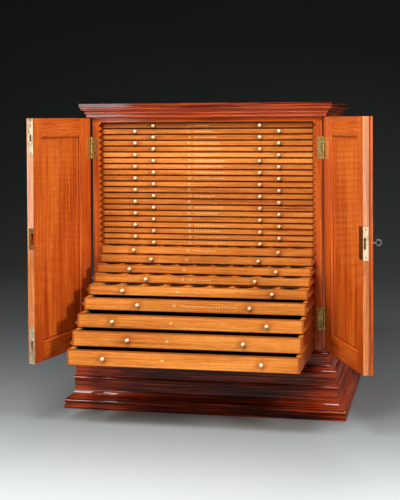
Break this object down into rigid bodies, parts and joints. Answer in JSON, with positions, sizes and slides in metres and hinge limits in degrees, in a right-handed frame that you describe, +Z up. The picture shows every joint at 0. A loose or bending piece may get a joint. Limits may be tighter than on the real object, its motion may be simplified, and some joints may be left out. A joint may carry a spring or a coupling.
{
  "type": "coin cabinet",
  "caption": "Table-top wooden coin cabinet with moulded cornice and plinth, lockable panelled doors and graduated coin trays that slide on V tongues, deeper drawers below.",
  "frame": {"origin": "on the underside of the base board, under the middle of the carcase", "axes": "+Z up, -Y towards the front where the trays come out, +X to the right of someone facing the front"},
  "size_m": [0.6247, 0.5802, 0.59],
  "materials": {
    "tray_wood": "waxed, satin",
    "carcase_wood": "polished",
    "door_wood": "polished",
    "plinth_wood": "french polished, glossy",
    "cornice_wood": "french polished, glossy",
    "brass": "aged",
    "steel": "worn",
    "bone": "turned bone, polished",
    "baize": "napped wool",
    "gilt": "gold leaf"
  },
  "bodies": {
    "cabinet": {"base_board": "plinth_wood", "plinth_front": "plinth_wood", "plinth_returns": "plinth_wood", "plinth_top": "plinth_wood", "cap_front": "plinth_wood", "cap_returns": "plinth_wood", "carcase_left_side": "carcase_wood", "carcase_right_side": "carcase_wood", "carcase_bottom": "carcase_wood", "carcase_top": "carcase_wood", "carcase_back": "carcase_wood", "top_board": "cornice_wood", "cornice_front": "cornice_wood", "cornice_returns": "cornice_wood", "carcase_hinge_leaves": "brass"},
    "left_door": {"left_door_frame": "door_wood", "left_door_panel": "door_wood", "left_door_hinge_leaves": "brass", "flush_bolt_plates": "brass", "lock_keep": "brass"},
    "right_door": {"right_door_frame": "door_wood", "right_door_panel": "door_wood", "meeting_bead": "door_wood", "right_door_hinge_leaves": "brass", "lock_case": "brass", "escutcheon": "brass"},
    "upper_flush_bolt": {"upper_flush_bolt": "brass"},
    "lower_flush_bolt": {"lower_flush_bolt": "brass"},
    "key": {"key": "steel"},
    "lock_bolt": {"lock_bolt": "brass"},
    "tray_01": {"tray_01": "tray_wood"},
    "tray_02": {"tray_02": "tray_wood"},
    "tray_03": {"tray_03": "tray_wood"},
    "tray_04": {"tray_04": "tray_wood"},
    "tray_05": {"tray_05": "tray_wood"},
    "tray_06": {"tray_06": "tray_wood"},
    "tray_07": {"tray_07": "tray_wood"},
    "tray_08": {"tray_08": "tray_wood"},
    "tray_09": {"tray_09": "tray_wood"},
    "tray_10": {"tray_10": "tray_wood"},
    "tray_11": {"tray_11": "tray_wood"},
    "tray_12": {"tray_12": "tray_wood"},
    "tray_13": {"tray_13": "tray_wood"},
    "tray_14": {"tray_14": "tray_wood"},
    "tray_15": {"tray_15": "tray_wood"},
    "tray_16": {"tray_16": "tray_wood"},
    "tray_17": {"tray_17": "tray_wood"},
    "tray_18": {"tray_18": "tray_wood"},
    "tray_19": {"tray_19": "tray_wood"},
    "tray_20": {"tray_20": "tray_wood"},
    "tray_21": {"tray_21": "tray_wood"},
    "tray_22": {"tray_22": "tray_wood"},
    "tray_23": {"tray_23": "tray_wood"},
    "tray_24": {"tray_24": "tray_wood"},
    "tray_25": {"tray_25": "tray_wood"},
    "tray_26": {"tray_26": "tray_wood"},
    "tray_27": {"tray_27": "tray_wood"},
    "tray_28": {"tray_28": "tray_wood"},
    "tray_29": {"tray_29": "tray_wood"},
    "tray_30": {"tray_30": "tray_wood"}
  },
  "joints": [
    {"name": "left_door_hinge", "type": "hinge", "parent": "cabinet", "child": "left_door", "pos_m": [-0.2282, -0.1778, 0.3425], "axis": [0, 0, -1], "range_deg": [-11.5, 72.5]},
    {"name": "right_door_hinge", "type": "hinge", "parent": "cabinet", "child": "right_door", "pos_m": [0.2282, -0.1778, 0.3425], "axis": [0, 0, 1], "range_deg": [-24.5, 59.5]},
    {"name": "key_turn", "type": "hinge", "parent": "right_door", "child": "key", "pos_m": [0.32261, -0.37228, 0.34655], "axis": [0.9239, 0.3827, 0], "range_deg": [0, 180]},
    {"name": "lock_bolt_slide", "type": "slide", "parent": "right_door", "child": "lock_bolt", "axis": [0.3827, -0.9239, 0], "range_m": [0, 0.007]},
    {"name": "upper_bolt_slide", "type": "slide", "parent": "left_door", "child": "upper_flush_bolt", "axis": [0, 0, 1], "range_m": [0, 0.012]},
    {"name": "lower_bolt_slide", "type": "slide", "parent": "left_door", "child": "lower_flush_bolt", "axis": [0, 0, -1], "range_m": [0, 0.014]},
    {"name": "tray_30_slide", "type": "slide", "parent": "cabinet", "child": "tray_30", "axis": [0, -1, 0], "range_m": [-0.23, 0.04]},
    {"name": "tray_29_slide", "type": "slide", "parent": "cabinet", "child": "tray_29", "axis": [0, -1, 0], "range_m": [-0.199, 0.071]},
    {"name": "tray_28_slide", "type": "slide", "parent": "cabinet", "child": "tray_28", "axis": [0, -1, 0], "range_m": [-0.168, 0.102]},
    {"name": "tray_27_slide", "type": "slide", "parent": "cabinet", "child": "tray_27", "axis": [0, -1, 0], "range_m": [-0.128, 0.142]},
    {"name": "tray_26_slide", "type": "slide", "parent": "cabinet", "child": "tray_26", "axis": [0, -1, 0], "range_m": [-0.098, 0.172]},
    {"name": "tray_25_slide", "type": "slide", "parent": "cabinet", "child": "tray_25", "axis": [0, -1, 0], "range_m": [-0.065, 0.205]},
    {"name": "tray_24_slide", "type": "slide", "parent": "cabinet", "child": "tray_24", "axis": [0, -1, 0], "range_m": [-0.047, 0.223]},
    {"name": "tray_23_slide", "type": "slide", "parent": "cabinet", "child": "tray_23", "axis": [0, -1, 0], "range_m": [-0.023, 0.247]},
    {"name": "tray_22_slide", "type": "slide", "parent": "cabinet", "child": "tray_22", "axis": [0, -1, 0], "range_m": [-0.015, 0.255]},
    {"name": "tray_21_slide", "type": "slide", "parent": "cabinet", "child": "tray_21", "axis": [0, -1, 0], "range_m": [0, 0.27]},
    {"name": "tray_20_slide", "type": "slide", "parent": "cabinet", "child": "tray_20", "axis": [0, -1, 0], "range_m": [0, 0.27]},
    {"name": "tray_19_slide", "type": "slide", "parent": "cabinet", "child": "tray_19", "axis": [0, -1, 0], "range_m": [0, 0.27]},
    {"name": "tray_18_slide", "type": "slide", "parent": "cabinet", "child": "tray_18", "axis": [0, -1, 0], "range_m": [0, 0.27]},
    {"name": "tray_17_slide", "type": "slide", "parent": "cabinet", "child": "tray_17", "axis": [0, -1, 0], "range_m": [0, 0.27]},
    {"name": "tray_16_slide", "type": "slide", "parent": "cabinet", "child": "tray_16", "axis": [0, -1, 0], "range_m": [0, 0.27]},
    {"name": "tray_15_slide", "type": "slide", "parent": "cabinet", "child": "tray_15", "axis": [0, -1, 0], "range_m": [0, 0.27]},
    {"name": "tray_14_slide", "type": "slide", "parent": "cabinet", "child": "tray_14", "axis": [0, -1, 0], "range_m": [0, 0.27]},
    {"name": "tray_13_slide", "type": "slide", "parent": "cabinet", "child": "tray_13", "axis": [0, -1, 0], "range_m": [0, 0.27]},
    {"name": "tray_12_slide", "type": "slide", "parent": "cabinet", "child": "tray_12", "axis": [0, -1, 0], "range_m": [0, 0.27]},
    {"name": "tray_11_slide", "type": "slide", "parent": "cabinet", "child": "tray_11", "axis": [0, -1, 0], "range_m": [0, 0.27]},
    {"name": "tray_10_slide", "type": "slide", "parent": "cabinet", "child": "tray_10", "axis": [0, -1, 0], "range_m": [0, 0.27]},
    {"name": "tray_09_slide", "type": "slide", "parent": "cabinet", "child": "tray_09", "axis": [0, -1, 0], "range_m": [0, 0.27]},
    {"name": "tray_08_slide", "type": "slide", "parent": "cabinet", "child": "tray_08", "axis": [0, -1, 0], "range_m": [0, 0.27]},
    {"name": "tray_07_slide", "type": "slide", "parent": "cabinet", "child": "tray_07", "axis": [0, -1, 0], "range_m": [0, 0.27]},
    {"name": "tray_06_slide", "type": "slide", "parent": "cabinet", "child": "tray_06", "axis": [0, -1, 0], "range_m": [0, 0.27]},
    {"name": "tray_05_slide", "type": "slide", "parent": "cabinet", "child": "tray_05", "axis": [0, -1, 0], "range_m": [0, 0.27]},
    {"name": "tray_04_slide", "type": "slide", "parent": "cabinet", "child": "tray_04", "axis": [0, -1, 0], "range_m": [0, 0.27]},
    {"name": "tray_03_slide", "type": "slide", "parent": "cabinet", "child": "tray_03", "axis": [0, -1, 0], "range_m": [0, 0.27]},
    {"name": "tray_02_slide", "type": "slide", "parent": "cabinet", "child": "tray_02", "axis": [0, -1, 0], "range_m": [0, 0.27]},
    {"name": "tray_01_slide", "type": "slide", "parent": "cabinet", "child": "tray_01", "axis": [0, -1, 0], "range_m": [0, 0.27]}
  ],
  "couplings": [
    {"joint": "key_turn", "follows": "lock_bolt_slide", "rad_per_m": 448.75}
  ]
}
